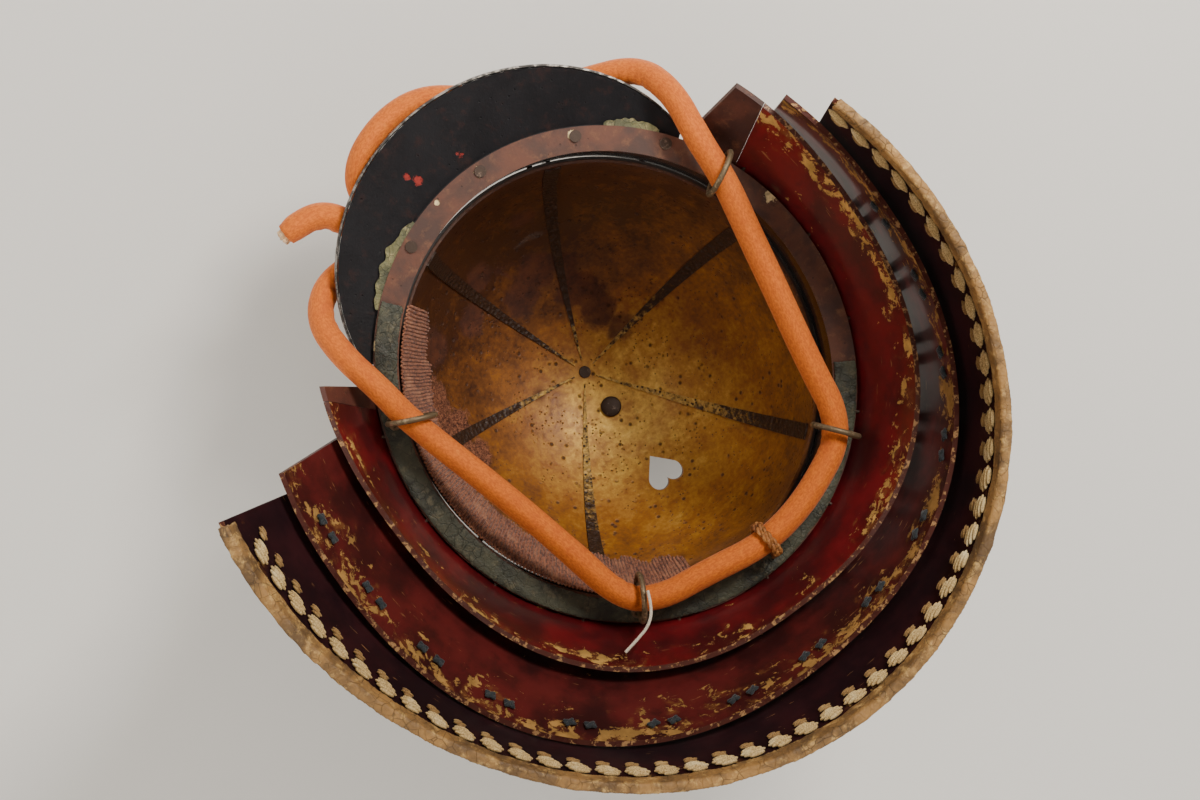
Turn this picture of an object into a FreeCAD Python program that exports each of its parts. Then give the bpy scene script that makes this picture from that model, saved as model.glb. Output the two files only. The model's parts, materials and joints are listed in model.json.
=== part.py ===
"""A lacquered Japanese fire helmet in the shape of a kabuto, as separate pieces, in millimetres.

Frame: +Z towards the crown, the front faces -Y, the wearer's left is +X. The origin is the centre
of the head opening, level with the underside of the neck band's flange. Angles round the helmet
are measured from the front towards the wearer's left.
"""

import FreeCAD, Part
import math
import os

V = FreeCAD.Vector

# Bowl: six plates, longer from front to back than it is wide
STRETCH_Y = 1.065
BOWL_A = 96.2
BOWL_LOW_Z = 24.0
BOWL_RISE = 104.0
PLATE_THICK = 2.6
CROWN_HOLE_R = 3.0
SEAMS = (-22.0, 22.0, 80.0, 141.0, 219.0, 280.0)
PLATE_NAMES = ("front", "front_left", "back_left", "back", "back_right", "front_right")
RIB_HIGH, RIB_THICK = 3.2, 2.2
STRIP_SPAN, STRIP_THICK = 4.6, 0.8
HEART_TIP_Y, HEART_LONG, LOBE_R, LOBE_X = 52.5, 16.0, 4.7, 4.4
PLUG_Y, PLUG_R = 22.0, 5.2

# Crown fitting
WASHER_R, WASHER_TOP_Z = 16.0, 130.6
CAP_R, CAP_TOP_Z = 9.5, 134.0

# Neck band: a short wall with a flange turned out at its foot
BAND_INNER_A, BAND_WALL = 96.5, 2.3
BAND_TOP_Z = 35.0
FLANGE_A, FLANGE_THICK = 107.4, 2.2
EDGE_BAND_THICK = 1.3
EDGE_BAND_FROM, EDGE_BAND_TO = 123.0, 324.0

# Visor: an oval tongue over the front of the flange
VISOR_A, VISOR_B, VISOR_CENTRE_Y = 88.5, 80.0, -67.0
VISOR_HALF_SPAN = 51.0
VISOR_THICK, VISOR_DROP = 2.0, 0.26
VISOR_RIVETS = (-46.0, -22.0, 2.0, 26.0, 48.0)

# Neck guard
LAME_THICK = 2.2
LEFT_FLAP_SPAN, RIGHT_FLAP_SPAN = 14.0, 5.5
LEFT_FLAP_SLANT, RIGHT_FLAP_SLANT = -7.5, 2.5
LACE_PAIRS = [180.0 + 14.4 * k for k in range(-6, 8)]
LACE_WIDE, LACE_THICK, LACE_APART, LACE_RADIUS = 4.6, 1.2, 9.0, 135.0
KNOT_Z = -52.5
BINDING_HIGH, BINDING_THICK = 6.0, 1.2
STITCH_PITCH = 12.4
LARGE_STITCH = (5.2, 3.1, 1.4)
SMALL_STITCH = (3.2, 1.9, 1.0)

# Cord rings and the eyes that hold them: angle round the helmet, inward swing
RING_R, RING_WIRE = 10.5, 1.3
EYE_R, EYE_WIRE = 2.9, 0.9
EYE_Z = -6.9
ROSETTE_R, ROSETTE_TOP_Z, ROSETTE_THICK = 3.2, -1.5, 1.2
RINGS = {"front_right": (-65.0, 45.0), "back_right": (-148.0, 44.0),
         "back_left": (141.0, 38.0), "front_left": (62.0, 22.0)}

# Chin cord: a limp padded tube, listed from its tucked end to its frayed end
CORD_R = 6.0
CORD_POINTS = [
    (-42, -120, 13), (-46, -133, 10), (-37, -146, 4), (-18, -153, 3), (2, -152, 4),
    (20, -139, 8), (42, -124, 9), (67, -116, 10), (90, -106, 4), (93, -88, -12),
    (89, -66, -17), (88, -45, -16.5), (83, -22, -20), (77, 8, -21), (71, 40, -19),
    (66, 79, -15), (36, 93, -16), (8, 98.7, -16), (-22, 93, -16), (-45, 90, -14),
    (-60, 79, -14), (-66, 45, -19), (-76, 3, -19), (-88, -41, -14), (-90, -60, -19), (-94, -80, -15),
    (-94, -98, -1), (-82, -110, 9), (-64, -110, 9), (-55, -120, 8), (-60, -133, 5),
    (-70, -139, 4), (-82, -138, 4),
]

# A short tie left on one ring
TIE_R = 0.7
TIE_POINTS = [(-49, 81, -28), (-52, 88, -30), (-58, 93, -32), (-66, 95, -31), (-73, 96, -32)]


def around(angle, radius, z):
    """The point at an angle from the front, a radius from the axis and a height."""
    t = math.radians(angle)
    return V(radius * math.sin(t), -radius * math.cos(t), z)


def outward(angle):
    return around(angle, 1.0, 0.0)


def oval_radius(angle, a, b, power=2.0):
    """How far a (super)ellipse with half-width a and half-length b lies from its centre."""
    t = math.radians(angle)
    return (abs(math.sin(t) / a) ** power + abs(math.cos(t) / b) ** power) ** (-1.0 / power)


class Outline:
    """A level oval: half-width, half-length, squareness, turn about its centre, and its centre."""

    def __init__(self, z, a, b, power=2.0, turn=0.0, dx=0.0, dy=0.0):
        self.z, self.a, self.b, self.power = z, a, b, power
        self.turn, self.dx, self.dy = turn, dx, dy

    def point(self, angle, out=0.0, z=None):
        r = oval_radius(angle - self.turn, self.a, self.b, self.power) + out
        return around(angle, r, self.z if z is None else z) + V(self.dx, self.dy, 0)


def band_outline(a, z):
    return Outline(z, a, a * STRETCH_Y)


class Lame:
    """One curved plate of the neck guard, ruled between its upper and its lower outline."""

    def __init__(self, top, low, start, end):
        self.top, self.low, self.start, self.end = top, low, start, end

    def inner(self, angle, z):
        share = (z - self.top.z) / (self.low.z - self.top.z)
        return self.top.point(angle) * (1 - share) + self.low.point(angle) * share

    def face_frame(self, angle, z):
        """Along the arc, up the plate and into the helmet, at a point of its inner face."""
        here = self.inner(angle, z)
        along = (self.inner(angle + 1, z) - self.inner(angle - 1, z)).normalize()
        up = (self.inner(angle, z + 1) - here).normalize()
        return here, along, up, up.cross(along).normalize()

    def section(self, angle):
        t, b = self.top, self.low
        return polygon([t.point(angle), b.point(angle),
                        b.point(angle, LAME_THICK), t.point(angle, LAME_THICK)])

    def solid(self):
        return lofted(self.section, self.start, self.end)


LAME_1 = Lame(Outline(3.0, 107.6, 114.6), Outline(-32.0, 121.5, 133.3, 2.3, 0, 1.8, -8.0), 66.0, 298.3)
LAME_2 = Lame(Outline(-14.0, 122.5, 130.2, 2.35, 1.6, 5.3, -2.9),
              Outline(-60.0, 139.0, 145.3, 2.25, 0, -11.0, -0.7), 66.5, 293.0)
LAME_3 = Lame(Outline(-44.0, 140.7, 149.1, 2.19, -1.5, -7.6, -0.1),
              Outline(-92.0, 152.7, 170.2, 2.04, -22.8, -19.3, -4.1), 74.0, 289.0)


def polygon(points):
    return Part.makePolygon(list(points) + [points[0]])


def lofted(section, start, end, step=7.0, ruled=False):
    """A solid through the sections at evenly spaced angles."""
    count = max(4, math.ceil((end - start) / step))
    wires = [section(start + (end - start) * i / count) for i in range(count + 1)]
    return Part.makeLoft(wires, True, ruled)


def curve(points):
    spline = Part.BSplineCurve()
    spline.interpolate(points)
    return spline.toShape()


def meridian(out, first, last, count=9):
    """Points of the bowl's outer line in the XZ plane, moved outwards, from one rise angle to another."""
    points = []
    for i in range(count):
        t = math.radians(first + (last - first) * i / (count - 1))
        normal = V(math.cos(t) / BOWL_A, 0, math.sin(t) / BOWL_RISE).normalize()
        on_bowl = V(BOWL_A * math.cos(t), 0, BOWL_LOW_Z + BOWL_RISE * math.sin(t))
        points.append(on_bowl + normal * out)
    return points


def rise_at(radius):
    return math.degrees(math.acos(radius / BOWL_A))


def meridian_face(inner_out, outer_out, first, last):
    """The face between two lines that run along the bowl's outer line."""
    a, b = meridian(inner_out, first, last), meridian(outer_out, first, last)
    edges = [curve(a), Part.makeLine(a[-1], b[-1]), curve(b), Part.makeLine(b[0], a[0])]
    return Part.Face(Part.Wire(Part.__sortEdges__(edges)))


def stretched(shape):
    """The same shape, lengthened from front to back as the bowl is."""
    grow = FreeCAD.Matrix()
    grow.scale(1.0, STRETCH_Y, 1.0)
    return shape.transformGeometry(grow)


def turned_to(shape, angle):
    """A shape drawn in the XZ plane, turned to an angle from the front."""
    placed = shape.copy()
    placed.rotate(V(0, 0, 0), V(0, 0, 1), angle - 90.0)
    return placed


def revolved(face, start, end):
    return turned_to(face.revolve(V(0, 0, 0), V(0, 0, 1), end - start), start)


def heart_prism():
    """The heart-shaped hole's outline, from its tip near the crown to its lobes, as a tall prism."""
    tip = V(0, HEART_TIP_Y, 0)
    lobe_y = HEART_TIP_Y + HEART_LONG - LOBE_R
    side = V(LOBE_X, lobe_y, 0)
    reach = (side - tip).Length
    lean = math.atan2(LOBE_X, lobe_y - HEART_TIP_Y) + math.asin(LOBE_R / reach)
    tangent = math.sqrt(reach ** 2 - LOBE_R ** 2)
    corner = tip + V(tangent * math.sin(lean), tangent * math.cos(lean), 0)
    notch = V(0, lobe_y + math.sqrt(LOBE_R ** 2 - LOBE_X ** 2), 0)
    over = side + V(LOBE_R * 0.5, LOBE_R * math.sqrt(0.75), 0)

    def flip(p):
        return V(-p.x, p.y, p.z)

    edges = [Part.makeLine(tip, corner), Part.Arc(corner, over, notch).toShape(),
             Part.Arc(notch, flip(over), flip(corner)).toShape(), Part.makeLine(flip(corner), tip)]
    face = Part.Face(Part.Wire(edges))
    face.translate(V(0, 0, 60))
    return face.extrude(V(0, 0, 90))


def bowl_plates():
    made = {}
    profile = meridian_face(-PLATE_THICK, 0.0, 0.0, rise_at(CROWN_HOLE_R))
    for i, name in enumerate(PLATE_NAMES):
        start, end = SEAMS[i], SEAMS[(i + 1) % len(SEAMS)]
        if end < start:
            end += 360.0
        plate = stretched(revolved(profile, start, end))
        if name == "back":
            plate = plate.cut(heart_prism())
        made["bowl_plate_" + name] = plate
    return made


def seam_ribs():
    """A standing rib outside each seam."""
    made = {}
    face = meridian_face(0.05, RIB_HIGH, 9.0, rise_at(WASHER_R + 3.0))
    for i, angle in enumerate(SEAMS):
        rib = face.extrude(V(0, RIB_THICK, 0))
        rib.translate(V(0, -RIB_THICK / 2, 0))
        made["bowl_rib_%d" % (i + 1)] = stretched(turned_to(rib, angle))
    return made


def seam_strips():
    """A lacquered cloth strip inside each seam, which narrows to the crown."""
    made = {}
    below = -PLATE_THICK - 0.05
    face = meridian_face(below - STRIP_THICK, below, 3.0, rise_at(CROWN_HOLE_R + 3.0))
    for i, angle in enumerate(SEAMS):
        strip = revolved(face, angle - STRIP_SPAN / 2, angle + STRIP_SPAN / 2)
        made["seam_strip_%d" % (i + 1)] = stretched(strip)
    return made


def crown_washer():
    low = meridian(0.1, rise_at(WASHER_R), rise_at(CROWN_HOLE_R))
    inner, outer = low[-1], low[0]
    edges = [curve(low), Part.makeLine(inner, V(inner.x, 0, WASHER_TOP_Z)),
             Part.makeLine(V(inner.x, 0, WASHER_TOP_Z), V(outer.x - 1.2, 0, WASHER_TOP_Z)),
             Part.makeLine(V(outer.x - 1.2, 0, WASHER_TOP_Z), outer)]
    return stretched(revolved(Part.Face(Part.Wire(Part.__sortEdges__(edges))), 0, 360))


def crown_cap():
    cap = Part.makeCylinder(CAP_R, CAP_TOP_Z - WASHER_TOP_Z - 0.05, V(0, 0, WASHER_TOP_Z + 0.05))
    cap = cap.makeChamfer(0.9, [e for e in cap.Edges if e.BoundBox.ZMin > CAP_TOP_Z - 0.1])
    stem_low = BOWL_LOW_Z + BOWL_RISE - PLATE_THICK - 1.0
    stem = Part.makeCylinder(CROWN_HOLE_R - 0.1, WASHER_TOP_Z + 1 - stem_low, V(0, 0, stem_low))
    return cap.fuse(stem).removeSplitter()


def pad(centre, along, across, normal, sizes):
    """An ellipsoid with the given half-sizes along three directions."""
    u, v, w = along * sizes[0], across * sizes[1], normal * sizes[2]
    place = FreeCAD.Matrix(u.x, v.x, w.x, centre.x, u.y, v.y, w.y, centre.y,
                           u.z, v.z, w.z, centre.z, 0, 0, 0, 1)
    return Part.makeSphere(1.0).transformGeometry(place)


def crown_plug():
    """The round rivet head inside the back plate, near the crown."""
    a, h = BOWL_A - PLATE_THICK, BOWL_RISE - PLATE_THICK
    share = PLUG_Y / (a * STRETCH_Y)
    normal = V(0, share / (a * STRETCH_Y), math.sqrt(1 - share ** 2) / h).normalize()
    spot = V(0, PLUG_Y, BOWL_LOW_Z + h * math.sqrt(1 - share ** 2))
    return pad(spot - normal * 1.5, V(1, 0, 0), normal.cross(V(1, 0, 0)), normal, (PLUG_R, PLUG_R, 1.1))


def neck_band():
    inner, wall, out = BAND_INNER_A, BAND_INNER_A + BAND_WALL, FLANGE_A
    profile = [V(inner, 0, 0), V(out, 0, 0), V(out, 0, FLANGE_THICK), V(wall, 0, FLANGE_THICK),
               V(wall, 0, BAND_TOP_Z), V(inner, 0, BAND_TOP_Z)]
    return stretched(revolved(Part.Face(polygon(profile)), 0, 360))


def edge_band():
    """The leather strip sewn under the flange, round both sides and the back."""
    inner, outer = band_outline(BAND_INNER_A + 0.4, -0.1), band_outline(FLANGE_A - 0.3, -0.1)

    def section(angle):
        low = inner.z - EDGE_BAND_THICK
        return polygon([inner.point(angle), outer.point(angle),
                        outer.point(angle, 0, low), inner.point(angle, 0, low)])

    return lofted(section, EDGE_BAND_FROM, EDGE_BAND_TO)


def liner_cloth():
    """What is left of the cloth lining, sewn to the right and back of the band."""
    low, top = band_outline(94.4, 1.5), band_outline(78.0, 37.0)

    def section(angle):
        return polygon([low.point(angle), low.point(angle, 1.6), top.point(angle, 1.6), top.point(angle)])

    return lofted(section, 194.0, 326.0)


def band_rivets():
    """Headed rivets through the band's wall and the bowl plates' lower edge."""
    made = []
    z = (BAND_TOP_Z + BOWL_LOW_Z) / 2
    for k in range(12):
        angle = 15.0 + 30.0 * k
        r = oval_radius(angle, BOWL_A, BOWL_A * STRETCH_Y)
        shank = Part.makeCylinder(1.4, 5.5, around(angle, r - 2.2, z), outward(angle))
        head = Part.makeCylinder(2.6, 1.2, around(angle, r + BAND_WALL + 0.6, z), outward(angle))
        made.append(shank.fuse(head))
    return Part.makeCompound(made)


def visor_reach(angle):
    """How far the visor's edge is from the axis, at an angle from the front."""
    t = math.radians(angle)
    s, c = math.sin(t), math.cos(t)
    a = (s / VISOR_A) ** 2 + (c / VISOR_B) ** 2
    b = 2 * c * VISOR_CENTRE_Y / VISOR_B ** 2
    k = (VISOR_CENTRE_Y / VISOR_B) ** 2 - 1
    return (-b + math.sqrt(b * b - 4 * a * k)) / (2 * a)


def visor_underside(angle):
    """The visor's underside at an angle: its root, where it leaves the flange, and its edge."""
    wall, rim = BAND_INNER_A + BAND_WALL + 0.3, FLANGE_A + 0.6
    base = FLANGE_THICK + 0.3
    root, rim = [oval_radius(angle, a, a * STRETCH_Y) for a in (wall, rim)]
    reach = max(visor_reach(angle), rim + 0.8)
    return [around(angle, root, base), around(angle, rim, base),
            around(angle, reach, base - VISOR_DROP * (reach - rim))]


def visor():
    def section(angle):
        low = visor_underside(angle)
        return polygon(low + [p + V(0, 0, VISOR_THICK) for p in reversed(low)])

    return lofted(section, -VISOR_HALF_SPAN, VISOR_HALF_SPAN, 2.5, True)


def visor_edge():
    """The thin bead round the visor's free edge."""
    def section(angle):
        centre = visor_underside(angle)[2] + outward(angle) * 0.85 + V(0, 0, VISOR_THICK / 2)
        ring = [(math.cos(math.radians(60 * k)), math.sin(math.radians(60 * k))) for k in range(6)]
        return polygon([centre + outward(angle) * (0.75 * x) + V(0, 0, 1.3 * y) for x, y in ring])

    return lofted(section, -VISOR_HALF_SPAN + 1, VISOR_HALF_SPAN - 1, 2.5, True)


def visor_rivets():
    made = []
    for angle in VISOR_RIVETS:
        wall = BAND_INNER_A + BAND_WALL
        foot = around(angle, oval_radius(angle, wall + 4.6, (wall + 4.6) * STRETCH_Y), -1.0)
        shank = Part.makeCylinder(1.3, FLANGE_THICK + VISOR_THICK + 1.6, foot)
        made.append(shank.fuse(Part.makeCylinder(2.7, 0.95, foot)))
    return Part.makeCompound(made)


def lame_1_rivets():
    made = []
    for k in range(11):
        angle = 68.0 + 22.4 * k
        r = oval_radius(angle, FLANGE_A, FLANGE_A * STRETCH_Y)
        shank = Part.makeCylinder(0.8, 5.0, around(angle, r - 1.5, FLANGE_THICK / 2), outward(angle))
        head = Part.makeCylinder(2.2, 1.0, around(angle, r + 2.6, FLANGE_THICK / 2), outward(angle))
        made.append(shank.fuse(head))
    return Part.makeCompound(made)


def end_flap(joined, free, slant):
    """A plain end of the top lame; its free end is cut at a slant, further back at the lower edge."""
    def section(angle):
        high = LAME_1.top.point(angle)
        low = LAME_1.low.point(angle - slant * (angle - joined) / (free - joined))
        out = outward(angle) * LAME_THICK
        return polygon([high, low, low + out, high + out])

    return lofted(section, min(joined, free), max(joined, free), 2.0, True)


def binding():
    """A leather edging folded over the lowest lame's free edge."""
    def section(angle):
        low = LAME_3.low.point(angle)
        up = (LAME_3.top.point(angle) - low).normalize()
        out, gap, skin = outward(angle), 0.1, BINDING_THICK
        return polygon([low + up * BINDING_HIGH - out * gap, low - up * gap - out * gap,
                        low - up * gap + out * (LAME_THICK + gap),
                        low + up * BINDING_HIGH + out * (LAME_THICK + gap),
                        low + up * BINDING_HIGH + out * (LAME_THICK + gap + skin),
                        low - up * (gap + skin) + out * (LAME_THICK + gap + skin),
                        low - up * (gap + skin) - out * (gap + skin),
                        low + up * BINDING_HIGH - out * (gap + skin)])

    return lofted(section, LAME_3.start + 0.6, LAME_3.end - 0.6)


def stitches(sizes, above_edge, lean):
    """Oval stitches on the lowest lame's inner face, one each pitch along its edge."""
    made = []
    low = LAME_3.low
    angle = LAME_3.start + 2.5
    z = low.z + above_edge
    while angle < LAME_3.end - 2.0:
        here, along, up, inward = LAME_3.face_frame(angle, z)
        t = math.radians(lean)
        long_way = along * math.cos(t) + up * math.sin(t)
        across = up * math.cos(t) - along * math.sin(t)
        made.append(pad(here + inward * (sizes[2] + 0.1), long_way, across, inward, sizes))
        angle += math.degrees(STITCH_PITCH / (here - V(low.dx, low.dy, here.z)).Length)
    return Part.makeCompound(made)


def lace_knots():
    made = []
    for angle in LACE_PAIRS:
        here, along, up, inward = LAME_2.face_frame(angle, KNOT_Z)
        for side in (-0.5, 0.5):
            centre = here + along * (side * LACE_APART) + inward * 1.3
            made.append(pad(centre, along, up, inward, (3.1, 2.9, 1.2)))
    return Part.makeCompound(made)


def level_with(lame, angle, z, place, along):
    """The point of a lame's inner face at a height, straight above or below a place."""
    for _ in range(4):
        here = lame.inner(angle, z)
        angle -= math.degrees((here - place).dot(along) / LACE_RADIUS)
    return lame.inner(angle, z)


def laces(upper, lower, from_z, to_z, stand_off):
    """Pairs of laces from one lame's outer face, over the next one's upper edge, to its outer face."""
    made = []
    for middle in LACE_PAIRS:
        for side in (-0.5, 0.5):
            angle = middle + math.degrees(side * LACE_APART / LACE_RADIUS)
            low, along, up, inward = lower.face_frame(angle, to_z)
            out = V(along.y, -along.x, 0).normalize()
            if out.dot(outward(angle)) < 0:
                out = out * -1
            places = [level_with(upper, angle, from_z, low, along) + out * (LAME_THICK + stand_off),
                      level_with(lower, angle, lower.top.z, low, along) + out * (LAME_THICK + 0.5) + V(0, 0, 0.4),
                      low + out * (LAME_THICK + 0.4)]
            half, skin = along * (LACE_WIDE / 2), out * LACE_THICK
            made.append(Part.makeLoft([polygon([p - half, p + half, p + half + skin, p - half + skin])
                                       for p in places], True, True))
    return Part.makeCompound(made)


def ring_parts(angle, swing):
    """A ring, the eye that holds it, the eye's centre and the wire's direction there."""
    flange_mid = (BAND_INNER_A + FLANGE_A) / 2
    eye_at = around(angle, oval_radius(angle, flange_mid, flange_mid * STRETCH_Y), EYE_Z)
    t = math.radians(swing)
    out = outward(angle)
    wire_way = (out * math.cos(t) - V(0, 0, math.sin(t))).normalize()
    centre = eye_at - out * (RING_R * math.sin(t)) - V(0, 0, RING_R * math.cos(t))
    ring = Part.makeTorus(RING_R, RING_WIRE, centre, around(angle + 90, 1.0, 0.0))
    eye = Part.makeTorus(EYE_R, EYE_WIRE, eye_at, wire_way)
    foot = V(eye_at.x, eye_at.y, ROSETTE_TOP_Z - ROSETTE_THICK)
    rosette = Part.makeCylinder(ROSETTE_R, ROSETTE_THICK, foot)
    stem = Part.makeCylinder(1.5, ROSETTE_THICK + 3.0, foot)
    eye_top = eye_at + (out * math.sin(t) + V(0, 0, math.cos(t))) * EYE_R
    neck = Part.makeCylinder(1.2, foot.z - eye_top.z + 0.4, eye_top)
    return ring, eye.fuse([neck, rosette, stem]), eye_at, wire_way


def rounded_path(points):
    """Straight runs joined by tangent arcs, as large as the runs allow, and each arc's radius."""
    points = [V(*p) for p in points]
    edges, radii = [], []
    here = points[0]
    for before, corner, after in zip(points, points[1:], points[2:]):
        back, on = (before - corner), (after - corner)
        shorter = min(back.Length, on.Length)
        back.normalize()
        on.normalize()
        half_turn = (math.pi - back.getAngle(on)) / 2
        cut = 0.45 * shorter
        radius = cut / math.tan(half_turn)
        start, end = corner + back * cut, corner + on * cut
        middle = (back + on).normalize()
        nearest = corner + middle * (radius / math.cos(half_turn) - radius)
        edges.append(Part.LineSegment(here, start).toShape())
        edges.append(Part.Arc(start, nearest, end).toShape())
        radii.append(radius)
        here = end
    edges.append(Part.LineSegment(here, points[-1]).toShape())
    return Part.Wire(edges), radii


def tube(points, radius):
    path, radii = rounded_path(points)
    first, second = V(*points[0]), V(*points[1])
    ring = Part.Wire(Part.makeCircle(radius, first, second - first))
    solid = path.makePipeShell([ring], True, False)
    print("tube length %.0f mm, volume share %.3f" % (path.Length,
          solid.Volume / (math.pi * radius ** 2 * path.Length)))
    print("radii", [round(r) for r in radii])
    return solid


def thong_loop():
    """A twisted thong hitched round the cord at the back and tied up through the flange."""
    middle = V(8, 97.2, -16.0)
    way = V(31, -0.5, -0.5).normalize()
    loops = [Part.makeTorus(7.9, 1.5, middle + way * s, way) for s in (-1.4, 1.4)]
    high = V(8, oval_radius(176, FLANGE_A - 4, (FLANGE_A - 4) * STRETCH_Y), 1.0)
    low = middle + V(0, 6.6, 3.4)
    tail = Part.makeCylinder(1.5, (high - low).Length, low, high - low)
    return loops[0].fuse([loops[1], tail])


def all_parts():
    parts = {}
    parts.update(bowl_plates())
    parts.update(seam_ribs())
    parts.update(seam_strips())
    parts["crown_washer"] = crown_washer()
    parts["crown_cap"] = crown_cap()
    parts["crown_plug"] = crown_plug()
    parts["neck_band"] = neck_band()
    parts["neck_band_rivets"] = band_rivets()
    parts["liner_edge_band"] = edge_band()
    parts["liner_cloth"] = liner_cloth()
    parts["visor"] = visor()
    parts["visor_edge"] = visor_edge()
    parts["visor_rivets"] = visor_rivets()
    parts["lame_1"] = LAME_1.solid()
    parts["lame_1_left_end"] = end_flap(
        LAME_1.start - 0.1, LAME_1.start - LEFT_FLAP_SPAN, LEFT_FLAP_SLANT)
    parts["lame_1_right_end"] = end_flap(
        LAME_1.end + 0.1, LAME_1.end + RIGHT_FLAP_SPAN, RIGHT_FLAP_SLANT)
    parts["lame_1_rivets"] = lame_1_rivets()
    parts["lame_2"] = LAME_2.solid()
    parts["lame_2_knots"] = lace_knots()
    parts["laces_upper"] = laces(LAME_1, LAME_2, -5.0, -30.0, 0.6)
    parts["lame_3"] = LAME_3.solid()
    parts["laces_lower"] = laces(LAME_2, LAME_3, -38.0, -60.0, 2.2)
    parts["lame_3_binding"] = binding()
    parts["lame_3_large_stitches"] = stitches(LARGE_STITCH, 9.6, 18.0)
    parts["lame_3_small_stitches"] = stitches(SMALL_STITCH, 16.2, 8.0)
    for name, (angle, swing) in RINGS.items():
        ring, eye, eye_at, way = ring_parts(angle, swing)
        parts["cord_ring_" + name] = ring
        parts["ring_eye_" + name] = eye
        print("ring %s eye %s axis %s centre %s" % (name, eye_at, way, ring.CenterOfMass))
    parts["thong_loop"] = thong_loop()
    parts["chin_cord"] = tube(CORD_POINTS, CORD_R)
    parts["ring_tie"] = tube(TIE_POINTS, TIE_R)
    return parts


def main():
    os.makedirs("parts", exist_ok=True)
    for node, shape in all_parts().items():
        if not shape.isValid():
            print("not valid:", node)
        shape.exportStep("parts/%s.step" % node)


main()
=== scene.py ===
"""A lacquered fire helmet in kabuto form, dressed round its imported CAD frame.

The frame's hard parts keep their meshes and get worn lacquer, gilding, leather and metal. The soft
goods (chin cord, thong, lining, laces, stitches, leather edging) are modelled here.
"""

import json
import logging
import math
from dataclasses import dataclass, field
from enum import Enum
from functools import lru_cache
from typing import Any, Callable, Iterable, Optional, Protocol, Sequence, Union

import bmesh
import bpy
import numpy as np
from mathutils import Matrix, Vector, noise

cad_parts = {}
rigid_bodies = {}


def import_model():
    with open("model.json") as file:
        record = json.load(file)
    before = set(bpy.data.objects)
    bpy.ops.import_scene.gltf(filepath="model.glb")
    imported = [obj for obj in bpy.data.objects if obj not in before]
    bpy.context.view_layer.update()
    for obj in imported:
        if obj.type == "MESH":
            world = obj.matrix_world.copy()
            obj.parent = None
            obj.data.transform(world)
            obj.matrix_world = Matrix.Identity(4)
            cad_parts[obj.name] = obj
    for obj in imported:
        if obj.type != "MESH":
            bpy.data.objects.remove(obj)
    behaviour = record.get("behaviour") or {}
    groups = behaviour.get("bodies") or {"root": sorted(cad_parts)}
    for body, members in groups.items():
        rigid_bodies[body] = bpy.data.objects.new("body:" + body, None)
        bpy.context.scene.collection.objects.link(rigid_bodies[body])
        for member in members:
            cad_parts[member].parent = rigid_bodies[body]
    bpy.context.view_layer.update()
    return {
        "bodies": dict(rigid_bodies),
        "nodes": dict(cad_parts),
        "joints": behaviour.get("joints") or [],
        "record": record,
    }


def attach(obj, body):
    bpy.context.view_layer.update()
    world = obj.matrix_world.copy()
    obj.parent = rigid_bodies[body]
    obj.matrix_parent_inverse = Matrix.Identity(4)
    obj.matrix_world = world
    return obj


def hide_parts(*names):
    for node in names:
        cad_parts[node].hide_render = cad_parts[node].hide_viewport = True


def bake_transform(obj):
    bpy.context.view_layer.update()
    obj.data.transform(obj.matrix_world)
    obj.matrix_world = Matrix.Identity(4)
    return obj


LOG = logging.getLogger("fire_helmet")
MM = 0.001
MERGE = 0.01 * MM
BEND_SPAN = 3
CAP_SHARE = 0.35
RIM_BOW = 1.065
Colour = tuple[float, float, float]
Point = tuple[float, float, float]


class Finish(Protocol):
    """A finish that can make its material."""

    def material(self) -> bpy.types.Material:
        """Builds the material."""


@lru_cache(maxsize=None)
def material_of(finish: Finish) -> bpy.types.Material:
    """The material of a finish, made once."""
    return finish.material()


class Body(Enum):
    """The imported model's bodies."""

    HELMET = "helmet"
    LAME_2 = "lame_2"
    LAME_3 = "lame_3"
    RING_BACK_RIGHT = "ring_back_right"


# --- Shader maths ---


class Value:
    """One output socket; arithmetic on it adds Math nodes."""

    def __init__(self, shader: "Shader", socket: bpy.types.NodeSocket) -> None:
        self.shader = shader
        self.socket = socket

    def math(self, operation: str, *others: Any) -> "Value":
        """Adds one Math node that starts from this value."""
        return self.shader.out("ShaderNodeMath", {"operation": operation}, dict(enumerate((self, *others))))

    def __add__(self, other: Any) -> "Value":
        return self.math("ADD", other)

    def __radd__(self, other: Any) -> "Value":
        return self.math("ADD", other)

    def __sub__(self, other: Any) -> "Value":
        return self.math("SUBTRACT", other)

    def __rsub__(self, other: Any) -> "Value":
        return self.shader.out("ShaderNodeMath", {"operation": "SUBTRACT"}, {0: other, 1: self})

    def __mul__(self, other: Any) -> "Value":
        return self.math("MULTIPLY", other)

    def __rmul__(self, other: Any) -> "Value":
        return self.math("MULTIPLY", other)

    def __truediv__(self, other: Any) -> "Value":
        return self.math("DIVIDE", other)

    def most(self, other: Any) -> "Value":
        """The larger of two values."""
        return self.math("MAXIMUM", other)

    def least(self, other: Any) -> "Value":
        """The smaller of two values."""
        return self.math("MINIMUM", other)

    def rise(self, low: float, high: float) -> "Value":
        """0 below low, 1 above high, and smooth between; low may be the larger."""
        return self.shader.out(
            "ShaderNodeMapRange", {"interpolation_type": "SMOOTHSTEP"},
            {"Value": self, "From Min": low, "From Max": high})


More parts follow.
